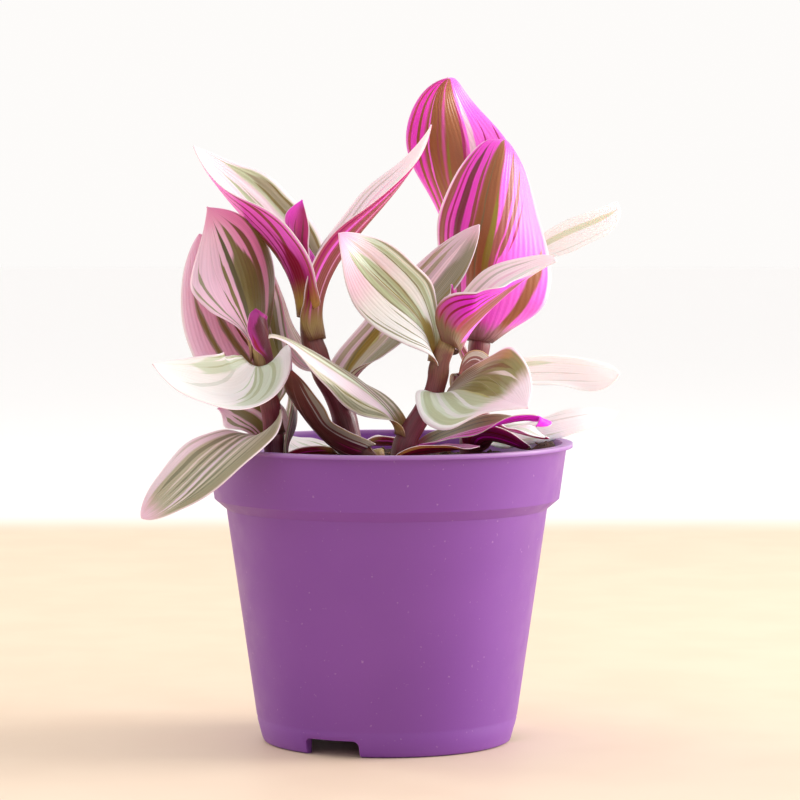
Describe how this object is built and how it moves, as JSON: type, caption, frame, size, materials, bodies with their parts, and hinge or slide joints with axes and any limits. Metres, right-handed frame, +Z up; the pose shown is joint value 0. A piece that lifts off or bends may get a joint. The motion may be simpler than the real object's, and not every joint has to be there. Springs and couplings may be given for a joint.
{
  "type": "potted trailing house plant",
  "caption": "Small trailing house plant with striped green, white and pink leaves on fleshy jointed stems, in a thin tapered plastic nursery pot filled with soil.",
  "frame": {"origin": "on the pot's axis, at the plane of its foot ring, which is also the middle of the bounding box's bottom within a millimetre", "axes": "+Z up along the pot's axis, -Y toward the viewer of the picture, +X to the viewer's right"},
  "size_m": [0.1339, 0.105, 0.1884],
  "materials": {
    "pot": "satin",
    "soil": "matte",
    "stem": "satin",
    "leaf_pink": "satin",
    "leaf_pale": "satin",
    "leaf_magenta": "satin",
    "leaf_olive": "satin"
  },
  "bodies": {
    "root": {"pot": "pot", "soil": "soil", "stem_left": "stem", "stem_centre": "stem", "stem_right": "stem", "stem_front": "stem", "stem_back": "stem", "stem_rear": "stem", "left_leaf_tall": "leaf_pink", "left_leaf_outer": "leaf_pink", "left_leaf_behind": "leaf_olive", "left_leaf_white": "leaf_pale", "left_leaf_drooping": "leaf_olive", "left_leaf_small": "leaf_pink", "left_leaf_low": "leaf_olive", "left_bud": "leaf_magenta", "centre_leaf_left": "leaf_magenta", "centre_leaf_right": "leaf_magenta", "centre_leaf_young": "leaf_magenta", "centre_leaf_pale": "leaf_pale", "centre_leaf_grey": "leaf_olive", "centre_leaf_soil_left": "leaf_pale", "centre_leaf_soil_back": "leaf_pale", "right_leaf_left": "leaf_pale", "right_leaf_boat": "leaf_magenta", "right_bud": "leaf_magenta", "right_leaf_heart": "leaf_olive", "right_leaf_curled": "leaf_magenta", "right_leaf_low": "leaf_magenta", "right_leaf_long": "leaf_pale", "front_leaf": "leaf_magenta", "back_leaf_tall": "leaf_magenta", "back_leaf_broad": "leaf_magenta", "back_leaf_small": "leaf_magenta", "back_leaf_arched": "leaf_magenta", "back_leaf_low": "leaf_pale", "rear_leaf_upper": "leaf_pale", "rear_leaf_middle": "leaf_pale", "rear_leaf_lower": "leaf_olive", "rear_leaf_behind": "leaf_pink", "rear_leaf_side": "leaf_pink"}
  },
  "joints": []
}
